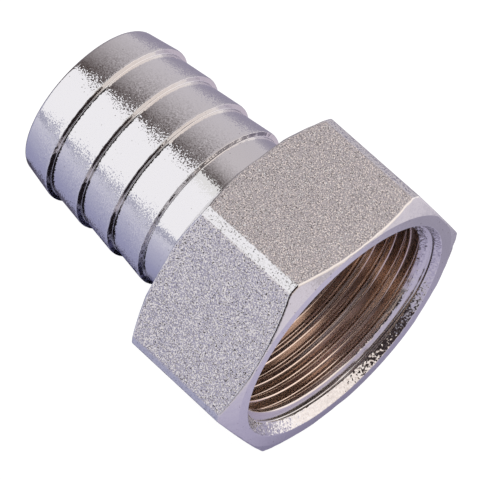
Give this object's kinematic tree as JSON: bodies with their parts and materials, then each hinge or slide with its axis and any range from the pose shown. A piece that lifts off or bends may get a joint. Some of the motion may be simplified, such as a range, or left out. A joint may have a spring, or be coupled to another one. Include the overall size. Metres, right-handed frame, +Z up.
{
  "type": "hose barb tail",
  "caption": "Straight hose barb tail in plated brass, with a hexagon spanner body and a parallel female pipe thread at the mouth.",
  "frame": {"origin": "centre of the flat ring at the mouth, on the thread's axis", "axes": "+X along the fitting, out of the threaded mouth; +Z up, square to the hexagon flat that the part lies on"},
  "size_m": [0.0378, 0.0342, 0.03],
  "materials": {
    "nickel_plated_brass": "nickel plated: bright turned barbs and mouth, blasted hexagon flats"
  },
  "bodies": {
    "root": {"hose_barb_tail": "nickel_plated_brass"}
  },
  "joints": []
}
